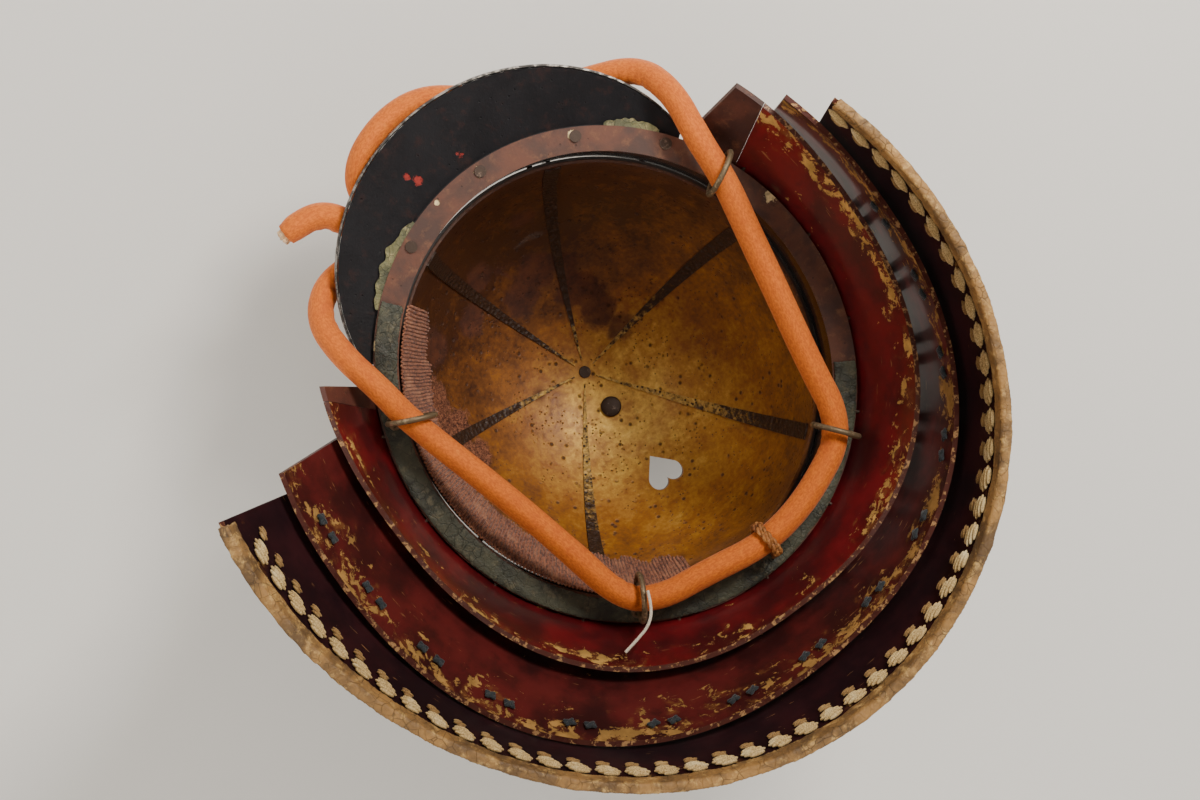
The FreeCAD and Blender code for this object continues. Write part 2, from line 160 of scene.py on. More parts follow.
class Shader:
    """A material that is built node by node."""

    def __init__(self, name: str) -> None:
        self.material = bpy.data.materials.new(name)
        self.material.use_nodes = True
        self.tree = self.material.node_tree
        self.tree.nodes.clear()
        self.place = self.out("ShaderNodeTexCoord", output="Object")

    def node(self, kind: str, settings: Optional[dict] = None, inputs: Optional[dict] = None) -> bpy.types.Node:
        """Adds a node.

        Args:
            kind: the node's type.
            settings: its properties; "stops" gives a colour ramp's places and colours.
            inputs: a number, colour, vector or Value for each of its sockets.

        Returns:
            The new node.
        """
        made = self.tree.nodes.new(kind)
        for name, value in (settings or {}).items():
            if name == "stops":
                ramp = made.color_ramp
                while len(ramp.elements) < len(value):
                    ramp.elements.new(0.5)
                for element, (place, colour) in zip(ramp.elements, value):
                    element.position = place
                    element.color = (*colour, 1.0)
            else:
                setattr(made, name, value)
        for name, value in (inputs or {}).items():
            if isinstance(value, Value):
                self.tree.links.new(value.socket, made.inputs[name])
            else:
                made.inputs[name].default_value = value
        return made

    def out(self, kind: str, settings: Optional[dict] = None, inputs: Optional[dict] = None,
            output: Union[int, str] = 0) -> Value:
        """Adds a node and returns one of its outputs."""
        return Value(self, self.node(kind, settings, inputs).outputs[output])

    def parts(self, vector: Optional[Value] = None) -> tuple[Value, Value, Value]:
        """The x, y and z of a vector, or of the place on the object."""
        made = self.node("ShaderNodeSeparateXYZ", None, {0: vector or self.place})
        return tuple(Value(self, socket) for socket in made.outputs)

    def normal_parts(self) -> tuple[Value, Value, Value]:
        """The x, y and z of the surface's normal, in the object's frame."""
        return self.parts(self.out("ShaderNodeTexCoord", output="Normal"))

    def stretched(self, scale: Point, vector: Optional[Value] = None) -> Value:
        """The place on the object, scaled along each axis."""
        return self.out("ShaderNodeVectorMath", {"operation": "MULTIPLY"}, {0: vector or self.place, 1: scale})

    def noise(self, size_mm: float, detail: float = 4.0, rough: float = 0.6, warp: float = 0.0,
              at: Optional[Value] = None) -> Value:
        """Cloudy noise whose lumps are about size_mm across."""
        return self.out("ShaderNodeTexNoise", None, {
            "Vector": at or self.place, "Scale": 1.0 / (size_mm * MM), "Detail": detail,
            "Roughness": rough, "Distortion": warp})

    def cells(self, size_mm: float, feature: str = "F1", at: Optional[Value] = None) -> Value:
        """Distance within a pattern of cells about size_mm across."""
        return self.out("ShaderNodeTexVoronoi", {"feature": feature}, {
            "Vector": at or self.place, "Scale": 1.0 / (size_mm * MM)}, "Distance")

    def mix(self, share: Any, first: Any, second: Any) -> Value:
        """A colour between two others."""
        def full(colour: Any) -> Any:
            return colour if isinstance(colour, Value) else (*colour, 1.0)

        return self.out("ShaderNodeMix", {"data_type": "RGBA"}, {0: share, 6: full(first), 7: full(second)}, 2)

    def spot(self, centre: Point, radius_mm: float, ragged: Value, soft_mm: float = 1.0,
             raggedness: float = 0.9) -> Value:
        """1 inside a ragged round patch and 0 outside it."""
        away = self.out("ShaderNodeVectorMath", {"operation": "DISTANCE"},
                        {0: self.place, 1: tuple(c * MM for c in centre)}, "Value")
        away = away + (ragged - 0.5) * (2.0 * raggedness * radius_mm * MM)
        return away.rise(radius_mm * MM, (radius_mm - soft_mm) * MM)

    def spots(self, patches: Iterable[tuple[Point, float]], ragged: Value, soft_mm: float = 1.0) -> Value:
        """1 inside any of several ragged patches."""
        whole = None
        for centre, radius in patches:
            one = self.spot(centre, radius, ragged, soft_mm)
            whole = one if whole is None else whole.most(one)
        return whole

    def bump(self, height: Value, depth_mm: float, strength: float = 1.0) -> Value:
        """A normal from a height that runs from 0 to 1."""
        return self.out("ShaderNodeBump", None, {"Height": height, "Distance": depth_mm * MM, "Strength": strength})

    def surface(self, base: Any, roughness: Any = 0.5, metallic: Any = 0.0, coat: Any = 0.0,
                normal: Optional[Value] = None, **fixed: float) -> bpy.types.Material:
        """Joins the colours and numbers to the surface and returns the material.

        Args:
            base: the colour.
            roughness: a number or a Value, as metallic and coat are.
            metallic: how far it is bare metal.
            coat: how far it is varnished.
            normal: a bump.
            fixed: plain numbers for other sockets, with underscores for spaces.

        Returns:
            The material.
        """
        inputs = {"Base Color": base if isinstance(base, Value) else (*base, 1.0), "Roughness": roughness,
                  "Metallic": metallic, "Coat Weight": coat}
        inputs.update({name.replace("_", " "): number for name, number in fixed.items()})
        if normal is not None:
            inputs["Normal"] = normal
        shell = self.out("ShaderNodeBsdfPrincipled", None, inputs)
        self.node("ShaderNodeOutputMaterial", None, {"Surface": shell})
        return self.material


# --- Finishes ---


@dataclass(frozen=True)
class GildedBowl:
    """Worn gilding over brown lacquer inside the bowl, made brighter near the crown as a painted highlight; black
    lacquer outside.
    """

    half_width: float = 96.2
    half_length: float = 102.5
    foot: float = 24.0
    rise: float = 104.0
    skin: float = 0.986
    dark_patches: tuple = (
        ((21, -36, 114), 15.0), ((23, -22, 119), 13.0), ((-6, -50, 111), 12.0), ((8, -56, 107), 13.0),
        ((28, -9, 119), 9.0), ((24, -50, 108), 9.0), ((-26, -5, 121), 6.0), ((-33, -56, 100), 11.0),
        ((-55, -56, 80), 13.0), ((-18, -70, 92), 10.0), ((14, -80, 78), 9.0))
    cloth_patches: tuple = (
        ((-73, -34, 76), 16.0), ((-70, -16, 87), 14.0), ((-68, -2, 92), 9.0), ((-77, -18, 76), 14.0),
        ((-74, -50, 60), 14.0))

    def material(self) -> bpy.types.Material:
        """Builds the material."""
        s = Shader("gilded_bowl")
        _, y, z = s.parts()
        dome = s.out("ShaderNodeVectorMath", {"operation": "MULTIPLY_ADD"}, {
            0: s.place, 1: tuple(1.0 / (v * MM) for v in (self.half_width, self.half_length, self.rise)),
            2: (0.0, 0.0, -self.foot / self.rise)})
        shell = s.out("ShaderNodeVectorMath", {"operation": "LENGTH"}, {0: dome}, "Value")
        inside = shell.rise(self.skin + 0.004, self.skin - 0.004)
        broad, middle, fine = s.noise(42, 5, 0.62, 0.4), s.noise(11, 6, 0.7), s.noise(2.4, 3, 0.6)
        # Painted highlight: the gilding is made brighter and more metallic round a point near the crown.
        painted_highlight = s.out("ShaderNodeVectorMath", {"operation": "DISTANCE"},
                     {0: s.stretched((1.0, 1.0, 0.35)), 1: (0.006, 0.024, 0.042)}, "Value").rise(0.105, 0.008)
        back = y.rise(-0.075, 0.05)
        # The gilding's brightness mixes random wear with that painted highlight.
        gilt_wear_and_highlight = painted_highlight * 0.50 + back * 0.26 + broad * 0.40 + middle * 0.80 + fine * 0.45 - 0.83
        gold = s.out("ShaderNodeValToRGB", {"stops": [
            (0.0, (0.055, 0.018, 0.008)), (0.22, (0.16, 0.055, 0.012)), (0.42, (0.30, 0.108, 0.015)),
            (0.62, (0.47, 0.225, 0.034)), (0.82, (0.72, 0.44, 0.085)), (1.0, (0.95, 0.68, 0.17))]}, {"Fac": gilt_wear_and_highlight})
        ragged = s.noise(17, 6, 0.72, 0.3)
        stain = s.spots(self.dark_patches, ragged, 5.0)
        stain = (stain * 0.85).most(s.noise(26, 6, 0.68, 0.5).rise(0.60, 0.70) * (1 - back * 0.7) * 0.85)
        colour = s.mix(stain, gold, s.mix(middle.rise(0.35, 0.65), (0.045, 0.014, 0.009), (0.12, 0.035, 0.015)))
        pits = s.cells(5.2).rise(0.26, 0.10) * s.noise(9, 2).rise(0.43, 0.56)
        pits = pits.most(s.cells(2.2).rise(0.27, 0.08) * s.noise(14, 3).rise(0.46, 0.58))
        colour = s.mix(pits * 0.85, colour, (0.05, 0.02, 0.01))
        grime = z.rise(0.052, 0.024) * broad.rise(0.3, 0.7)
        colour = s.mix(grime * 0.75, colour, (0.10, 0.035, 0.02))
        cloth = s.spots(self.cloth_patches, s.noise(12, 5, 0.75), 3.0)
        fibre = s.noise(1.3, 4, 0.7, 1.2, s.stretched((1.0, 1.0, 0.5)))
        weave = s.mix(fibre.rise(0.35, 0.68), (0.055, 0.014, 0.010), (0.40, 0.155, 0.075))
        colour = s.mix(cloth, colour, weave)
        outside = s.mix(s.noise(30, 4).rise(0.4, 0.7), (0.012, 0.010, 0.010), (0.022, 0.013, 0.010))
        colour = s.mix(inside, outside, colour)
        height = (middle * 0.35 + fine * 0.3 - pits * 0.9 - stain * 0.15) * inside + fibre * cloth * 2.4
        rough = 0.42 + (broad * 0.16 + stain * 0.3 + pits * 0.3) * inside + cloth * 0.4
        return s.surface(colour, rough.least(0.9), (gilt_wear_and_highlight.rise(0.35, 0.9) * (1 - stain) * inside * 0.35) * (1 - cloth),
                         0.15, s.bump(height, 0.55, 0.8))


@dataclass(frozen=True)
class SeamLacquer:
    """Dark lumpy lacquered cloth over a seam, rubbed through to gold in dots."""

    def material(self) -> bpy.types.Material:
        """Dark lumpy lacquered cloth over a seam, rubbed through to gold in dots, with brighter gold near the crown as
        a painted highlight.
        """
        s = Shader("seam_lacquer")
        _, y, _ = s.parts()
        dots = s.cells(2.3)
        lump = s.noise(3.2, 4, 0.7)
        # Painted highlight: round a point near the crown the seam shows more gold, and brighter gold.
        seam_highlight = s.out("ShaderNodeVectorMath", {"operation": "DISTANCE"},
                     {0: s.stretched((1.0, 1.0, 0.35)), 1: (0.006, 0.020, 0.042)}, "Value").rise(0.10, 0.02)
        rubbed = (lump * 0.9 + seam_highlight * 0.38 + y.rise(-0.05, 0.05) * 0.14).rise(0.74, 1.0)
        colour = s.mix(rubbed, (0.034, 0.015, 0.008), s.mix(seam_highlight, (0.26, 0.11, 0.02), (0.60, 0.38, 0.095)))
        colour = s.mix(dots.rise(0.40, 0.18), colour, (0.028, 0.014, 0.008))
        return s.surface(colour, 0.55, rubbed * 0.3, 0.0, s.bump(lump * 0.6 + dots, 0.8))


@dataclass(frozen=True)
class LeafLacquer:
    """Glossy lacquer on a lame's inner face, with flakes of gold leaf along its edges and a painted highlight on its
    lower edge face.
    """

    name: str
    base: Colour
    deep: Colour
    low_z: float
    high_z: float
    leaf: float
    sheen: float = 0.9
    leaf_colour: Colour = (0.74, 0.46, 0.13)

    def material(self) -> bpy.types.Material:
        """Builds the material."""
        s = Shader(self.name)
        x, y, z = s.parts()
        nx, ny, nz = s.normal_parts()
        inner = ((nx * x + ny * y) * 1000.0).rise(8.0, -8.0)
        rim = nz.rise(-0.86, -0.96)
        up = (z - self.low_z * MM) / ((self.high_z - self.low_z) * MM)
        broad, fine = s.noise(28, 5, 0.6), s.noise(4.6, 6, 0.72, 0.6)
        patch = s.noise(19, 4, 0.6, 0.8, s.stretched((1.0, 1.0, 1.7)))
        edge = up.rise(0.60, 0.0) * 0.145 + up.rise(0.80, 1.05) * 0.03
        flake = (fine * 0.62 + patch * 0.62 + edge + self.leaf).rise(0.815, 0.835)
        smear = (s.noise(6.5, 5, 0.65) * 0.5 + patch * 0.6 + edge + self.leaf).rise(0.70, 0.83)
        red = s.mix(broad.rise(0.36, 0.66), self.deep, self.base)
        red = s.mix(s.noise(9, 4).rise(0.55, 0.75) * 0.6, red, self.deep)
        worn = s.mix(smear * 0.55, red, (0.20, 0.085, 0.025))
        shade = s.mix(s.noise(7, 3).rise(0.35, 0.7), tuple(c * 0.62 for c in self.leaf_colour), self.leaf_colour)
        colour = s.mix(flake, worn, shade)
        hair = s.noise(2.2, 2, 0.5, 0.0, s.stretched((0.25, 0.25, 2.2)))
        scratch = hair.rise(0.68, 0.73) * s.noise(24, 2).rise(0.5, 0.6)
        colour = s.mix(scratch * 0.6, colour, (0.40, 0.20, 0.08))
        colour = s.mix(inner, (0.020, 0.012, 0.012), colour)
        # Painted highlight: the lower edge face is dark brown with light patches that stand in for light caught on the
        # edge.
        painted_edge_highlight = s.mix(s.noise(4, 5, 0.7).rise(0.53, 0.60), (0.070, 0.020, 0.015), (0.40, 0.23, 0.10))
        colour = s.mix(rim, colour, painted_edge_highlight)
        rough = 0.23 + flake * 0.22 + smear * 0.16 + broad * 0.1
        height = flake * 0.5 + s.noise(14, 3) * 0.4 + fine * smear * 0.4
        rough = rough + (1 - self.sheen) * 0.30
        return s.surface(colour, rough, flake * inner * 0.45, (1 - flake) * self.sheen * 0.8, s.bump(height, 0.35, 0.7),
                         Coat_Roughness=0.16, Specular_IOR_Level=0.5 * self.sheen)


@dataclass(frozen=True)
class PlainLacquer:
    """Worn lacquer of one colour with darker and lighter wear and named chips."""

    name: str
    base: Colour
    dark: Colour
    light: Colour
    gloss: float = 0.35
    coat: float = 0.3
    chips: tuple = ()
    chip_colour: Colour = (0.72, 0.55, 0.30)
    grain_mm: float = 0.3
    wall_black_above: Optional[float] = None
    specular: float = 0.5

    def material(self) -> bpy.types.Material:
        """Builds the material."""
        s = Shader(self.name)
        _, _, z = s.parts()
        broad, middle, fine = s.noise(24, 5, 0.65, 0.3), s.noise(6, 5, 0.7), s.noise(1.3, 3, 0.6)
        colour = s.mix(broad.rise(0.38, 0.62), self.dark, self.base)
        colour = s.mix(middle.rise(0.52, 0.72) * 0.8, colour, self.light)
        specks = s.cells(3.4).rise(0.17, 0.06) * s.noise(11, 2).rise(0.48, 0.6)
        colour = s.mix(specks * 0.8, colour, tuple(c * 0.35 for c in self.dark))
        height = middle * 0.4 + fine * 0.35 - specks * 0.8
        rough = (1 - self.gloss) * 0.75 + middle * 0.22
        coat = self.coat
        if self.chips:
            chip = s.spots(self.chips, s.noise(2.6, 4, 0.7, 0.4), 0.5)
            colour = s.mix(chip, colour, s.mix(s.noise(2.0, 3).rise(0.4, 0.65), self.chip_colour,
                                               tuple(c * 0.5 for c in self.chip_colour)))
            height = height - chip * 0.8
        if self.wall_black_above is not None:
            wall = z.rise(self.wall_black_above * MM, (self.wall_black_above + 0.4) * MM)
            colour = s.mix(wall, colour, (0.006, 0.006, 0.007))
            rough = rough * (1 - wall) + wall * 0.09
            height = height * (1 - wall)
            coat = 0.35
        return s.surface(colour, rough, 0.0, coat, s.bump(height, self.grain_mm, 0.8), Specular_IOR_Level=self.specular)


@dataclass(frozen=True)
class WornLeather:
    """Patinated leather with pores, cracks and rubbed edges."""

    name: str
    base: Colour
    dark: Colour
    light: Colour

    def material(self) -> bpy.types.Material:
        """Builds the material."""
        s = Shader(self.name)
        broad, middle = s.noise(20, 5, 0.65, 0.5), s.noise(5, 5, 0.7)
        pores, cracks = s.cells(1.1), s.cells(4.5, "DISTANCE_TO_EDGE").rise(0.05, 0.0)
        colour = s.mix(broad.rise(0.36, 0.62), self.dark, self.base)
        colour = s.mix(middle.rise(0.5, 0.7), colour, self.light)
        colour = s.mix(cracks * s.noise(12, 2).rise(0.45, 0.6) * 0.7, colour, tuple(c * 0.4 for c in self.dark))
        height = pores * 0.35 + middle * 0.6 - cracks * 0.3
        return s.surface(colour, 0.52 + broad * 0.2, 0.0, 0.12, s.bump(height, 0.5))


@dataclass(frozen=True)
class OrangeCrepe:
    """Crinkled orange crepe, rubbed paler in patches, with painted shade in the creases inside its bends."""

    def material(self) -> bpy.types.Material:
        """Builds the material."""
        s = Shader("orange_crepe")
        u = s.out("ShaderNodeUVMap", {"uv_map": "along"})
        crinkle = s.noise(0.9, 3, 0.6, 0.6, s.stretched((1.0, 0.55, 1.0), u))
        soil, rub = s.noise(16, 4, 0.65), s.noise(5, 4)
        colour = s.mix(crinkle.rise(0.36, 0.64), (0.52, 0.105, 0.005), (0.69, 0.168, 0.009))
        colour = s.mix(soil.rise(0.52, 0.74) * 0.5, colour, (0.46, 0.075, 0.006))
        colour = s.mix(rub.rise(0.60, 0.74) * 0.4, colour, (0.80, 0.26, 0.028))
        # Painted shade: the creases inside the cord's bends are darkened in colour.
        crease_shades = s.out("ShaderNodeAttribute", {"attribute_name": "crease"}, output="Fac")
        colour = s.mix(crease_shades * 0.6, colour, (0.22, 0.035, 0.006))
        return s.surface(colour, 0.82, 0.0, 0.0, s.bump(crinkle * 0.7 + rub * 0.3, 0.28), Sheen_Weight=0.08)


@dataclass(frozen=True)
class Fibres:
    """Thread, lace or cloth: fine strands in one colour that runs to another."""

    name: str
    base: Colour
    dark: Colour
    light: Colour
    strand_mm: float = 0.6
    along: Point = (1.0, 1.0, 1.0)

    def material(self) -> bpy.types.Material:
        """Builds the material."""
        s = Shader(self.name)
        strand = s.noise(self.strand_mm, 3, 0.6, 0.5, s.stretched(self.along))
        broad = s.noise(9, 4, 0.6)
        colour = s.mix(strand.rise(0.34, 0.66), self.dark, self.base)
        colour = s.mix(broad.rise(0.5, 0.75) * 0.7, colour, self.light)
        return s.surface(colour, 0.78, 0.0, 0.0, s.bump(strand, 0.3), Sheen_Weight=0.2)


@dataclass(frozen=True)
class AgedMetal:
    """Iron or bronze under a dark patina, bare where it is rubbed."""

    name: str
    patina: Colour
    bare: Colour
    rubbed: float = 0.55

    def material(self) -> bpy.types.Material:
        """Builds the material."""
        s = Shader(self.name)
        cloud, fine = s.noise(5, 5, 0.7), s.noise(0.8, 3)
        worn = cloud.rise(self.rubbed, self.rubbed + 0.14)
        colour = s.mix(worn, self.patina, self.bare)
        return s.surface(colour, 0.52 - worn * 0.16, 0.55 + worn * 0.35, 0.0, s.bump(cloud * 0.5 + fine * 0.5, 0.15))


@dataclass(frozen=True)
class StagePaint:
    """Pale matt paint that shows from one side only."""

    name: str
    pale: Colour = (0.74, 0.735, 0.72)

    def material(self) -> bpy.types.Material:
        """Builds the material."""
        s = Shader(self.name)
        shell = s.out("ShaderNodeBsdfPrincipled", None, {"Base Color": (*self.pale, 1.0), "Roughness": 0.85})
        behind = s.out("ShaderNodeNewGeometry", output="Backfacing")
        both = s.out("ShaderNodeMixShader", None, {0: behind, 1: shell, 2: s.out("ShaderNodeBsdfTransparent")})
        s.node("ShaderNodeOutputMaterial", None, {"Surface": both})
        return s.material


# --- Mesh hands ---


def put_down_all() -> None:
    """Deselects every object, so that an operator acts only on what is picked next."""
    for obj in bpy.context.view_layer.objects:
        obj.select_set(False)


def pick(*objs: bpy.types.Object) -> None:
    """Selects these objects alone, with the first of them active."""
    put_down_all()
    for obj in objs:
        obj.select_set(True)
    bpy.context.view_layer.objects.active = objs[0]


def edit(obj: bpy.types.Object, work: Callable[[], None]) -> None:
    """Runs operators in edit mode on one object with all of it selected."""
    pick(obj)
    bpy.ops.object.mode_set(mode="EDIT")
    bpy.ops.mesh.select_all(action="SELECT")
    work()
    bpy.ops.object.mode_set(mode="OBJECT")


def apply_modifier(obj: bpy.types.Object, kind: str, **settings: Any) -> None:
    """Adds a modifier, sets it and applies it."""
    pick(obj)
    modifier = obj.modifiers.new(kind.lower(), kind)
    for name, value in settings.items():
        setattr(modifier, name, value)
    bpy.ops.object.modifier_apply(modifier=modifier.name)


def settle(obj: bpy.types.Object) -> None:
    """Puts the object at the origin with its place in its mesh."""
    pick(obj)
    bpy.ops.object.transform_apply(location=True, rotation=True, scale=True)


def smooth(obj: bpy.types.Object, angle: float = 40.0) -> None:
    """Shades a mesh smooth, apart from its sharp edges."""
    pick(obj)
    bpy.ops.object.shade_smooth_by_angle(angle=math.radians(angle))


def joined(objs: Sequence[bpy.types.Object], name: str) -> bpy.types.Object:
    """Joins objects into one and names it."""
    pick(*objs)
    if len(objs) > 1:
        bpy.ops.object.join()
    whole = bpy.context.view_layer.objects.active
    whole.name = name
    return whole


def new_mesh(name: str, points: Sequence[Any], faces: Sequence[Sequence[int]]) -> bpy.types.Object:
    """A mesh object from points and faces, in metres."""
    mesh = bpy.data.meshes.new(name)
    mesh.from_pydata([tuple(p) for p in points], [], faces)
    mesh.update()
    obj = bpy.data.objects.new(name, mesh)
    bpy.context.scene.collection.objects.link(obj)
    return obj


def coat(obj: bpy.types.Object, finish: Finish) -> None:
    """Gives an object one finish."""
    obj.data.materials.clear()
    obj.data.materials.append(material_of(finish))


def node_copy(frame: dict, node: str, name: str) -> bpy.types.Object:
    """A copy of a CAD node with its loose triangles merged."""
    source = frame["nodes"][node]
    obj = bpy.data.objects.new(name, source.data.copy())
    bpy.context.scene.collection.objects.link(obj)
    edit(obj, lambda: bpy.ops.mesh.remove_doubles(threshold=MERGE))
    if obj.data.has_custom_normals:
        bpy.ops.mesh.customdata_custom_splitnormals_clear()
    return obj


def finish_piece(obj: bpy.types.Object, finish: Finish, body: Body, slot: str,
                 *nodes: str) -> bpy.types.Object:
    """Dresses a new piece, hangs it on its body and hides the CAD nodes it stands for."""
    coat(obj, finish)
    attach(obj, body.value)
    if nodes:
        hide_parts(*nodes)
    LOG.info("piece %s on %s, %d faces", obj.name, body.value, len(obj.data.polygons))
    return obj


@dataclass
class Island:
    """One closed solid inside a CAD node: its centre, its axes from the longest, and its half sizes."""

    centre: Vector
    axes: tuple[Vector, Vector, Vector]
    half: tuple[float, float, float]

    def turn(self) -> Matrix:
        """The matrix from a model along x, y and z to this solid's axes."""
        long, across, thick = self.axes
        return Matrix.Translation(self.centre) @ Matrix((long, across, thick)).transposed().to_4x4()


def islands(frame: dict, node: str) -> list[Island]:
    """The closed solids of a CAD node, in the order of their angle round the helmet."""
    work = bmesh.new()
    work.from_mesh(frame["nodes"][node].data)
    bmesh.ops.remove_doubles(work, verts=work.verts, dist=MERGE)
    found, seen = [], set()
    for start in work.verts:
        if start in seen:
            continue
        seen.add(start)
        heap, members = [start], []
        while heap:
            vert = heap.pop()
            members.append(tuple(vert.co))
            for edge in vert.link_edges:
                other = edge.other_vert(vert)
                if other not in seen:
                    seen.add(other)
                    heap.append(other)
        found.append(island_of(np.array(members)))
    work.free()
    return sorted(found, key=lambda part: math.atan2(part.centre.x, -part.centre.y))


def island_of(points: np.ndarray) -> Island:
    """The centre, axes and half sizes of a cloud of points; the last axis faces the helmet's middle."""
    low, high = points.min(0), points.max(0)
    centre = (low + high) / 2
    _, _, rows = np.linalg.svd(points - points.mean(0), full_matrices=False)
    long, thick = Vector(rows[0]), Vector(rows[2])
    if thick.x * centre[0] + thick.y * centre[1] > 0:
        thick = -thick
    if long.cross(Vector((0, 0, 1))).dot(thick) < 0:
        long = -long
    across = thick.cross(long)
    half = [float(np.ptp((points - centre) @ np.array(axis)) / 2) for axis in (long, across, thick)]
    return Island(Vector(centre), (long, across, thick), tuple(half))


def lumpy(obj: bpy.types.Object, depth_mm: float, size_mm: float, seed: float = 0.0) -> None:
    """Moves each point along its normal by smooth noise, as hand-worked leather is uneven."""
    shift = Vector((seed, seed * 0.7, seed * 1.3))
    moved = []
    for vert in obj.data.vertices:
        place = vert.co / (size_mm * MM)
        amount = noise.noise(place + shift) + 0.5 * noise.noise(place / 0.35 - shift)
        moved.append(vert.co + vert.normal * (amount * depth_mm * MM))
    for vert, place in zip(obj.data.vertices, moved):
        vert.co = place
    obj.data.update()


def nurbs_line(name: str, points_mm: Sequence[Point]) -> list[Vector]:
    """Points along the smooth line of a route, read from its own NURBS spline.

    Args:
        name: the scratch curve's name.
        points_mm: the route's control points.

    Returns:
        The line's points in metres.
    """
    data = bpy.data.curves.new(name, "CURVE")
    data.dimensions = "3D"
    data.resolution_u = 24
    spline = data.splines.new("NURBS")
    spline.points.add(len(points_mm) - 1)
    for point, place in zip(spline.points, points_mm):
        point.co = (*(c * MM for c in place), 1.0)
    spline.order_u = 3
    spline.use_endpoint_u = True
    obj = bpy.data.objects.new(name, data)
    bpy.context.scene.collection.objects.link(obj)
    bpy.context.view_layer.update()
    mesh = bpy.data.meshes.new_from_object(obj)
    line = [v.co.copy() for v in mesh.vertices]
    bpy.data.objects.remove(obj)
    bpy.data.curves.remove(data)
    bpy.data.meshes.remove(mesh)
    return line


def even_steps(line: Sequence[Vector], step: float) -> list[Vector]:
    """The same line with its points a fixed distance apart."""
    runs = [0.0]
    for a, b in zip(line, line[1:]):
        runs.append(runs[-1] + (b - a).length)
    count = max(2, round(runs[-1] / step))
    places = np.linspace(0.0, runs[-1], count + 1)
    columns = [np.interp(places, runs, [p[i] for p in line]) for i in range(3)]
    return [Vector(p) for p in zip(*columns)]


def tube_along(name: str, line: Sequence[Vector], radius: Callable[[int, float, float], float], sides: int,
               crease: Optional[Callable[[int, float], float]] = None) -> bpy.types.Object:
    """A closed tube along a line, with a UV map in metres and a crease attribute that holds painted shade.

    Args:
        name: the piece's name.
        line: its centre line.
        radius: the radius at a step, an angle round the tube and the bend towards that side.
        sides: how many faces round.
        crease: how dark the painted shade in a crease is at a step and a bend towards that side.

    Returns:
        The tube.
    """
    count = len(line)
    ahead = [(line[min(i + 1, count - 1)] - line[max(i - 1, 0)]).normalized() for i in range(count)]
    up = ahead[0].orthogonal().normalized()
    points, faces, crease_shades = [], [], []
    for i, (centre, way) in enumerate(zip(line, ahead)):
        up = (up - way * up.dot(way)).normalized()
        side = way.cross(up)
        j = min(max(i, BEND_SPAN), count - 1 - BEND_SPAN)
        span = max((line[j + BEND_SPAN] - line[j - BEND_SPAN]).length, 1e-6)
        bend = (ahead[j + BEND_SPAN] - ahead[j - BEND_SPAN]) / span
        for k in range(sides):
            turn = 2 * math.pi * k / sides
            out = up * math.cos(turn) + side * math.sin(turn)
            inward = bend.dot(out)
            points.append(centre + out * radius(i, turn, inward))
            crease_shades.append(crease(i, inward) if crease else 0.0)
    for i in range(count - 1):
        for k in range(sides):
            a, b = i * sides + k, i * sides + (k + 1) % sides
            faces.append((a, b, b + sides, a + sides))
    for ring, centre, order in ((0, line[0], -1), (count - 1, line[-1], 1)):
        points.append(centre + ahead[ring] * (order * CAP_SHARE * radius(ring, 0.0, 0.0)))
        crease_shades.append(0.0)
        for k in range(sides):
            a, b = ring * sides + k, ring * sides + (k + 1) % sides
            faces.append((b, a, len(points) - 1) if order < 0 else (a, b, len(points) - 1))
    obj = new_mesh(name, points, faces)
    attribute = obj.data.attributes.new("crease", "FLOAT", "POINT")
    attribute.data.foreach_set("value", crease_shades)
    layer = obj.data.uv_layers.new(name="along")
    lengths = np.concatenate([[0], np.cumsum([(b - a).length for a, b in zip(line, line[1:])])])
    wide = 2 * math.pi * radius(count // 2, 0.0, 0.0)
    for face in obj.data.polygons:
        ks = [obj.data.loops[n].vertex_index % sides for n in face.loop_indices]
        wraps = max(ks) - min(ks) > sides / 2
        for n, k in zip(face.loop_indices, ks):
            vertex = obj.data.loops[n].vertex_index
            i = min(vertex // sides, count - 1)
            across = (k + (sides if wraps and k < sides / 2 else 0)) / sides
            layer.data[n].uv = (across * wide, lengths[i])
    smooth(obj, 60)
    return obj


# --- The chin cord, its thong and its rings ---


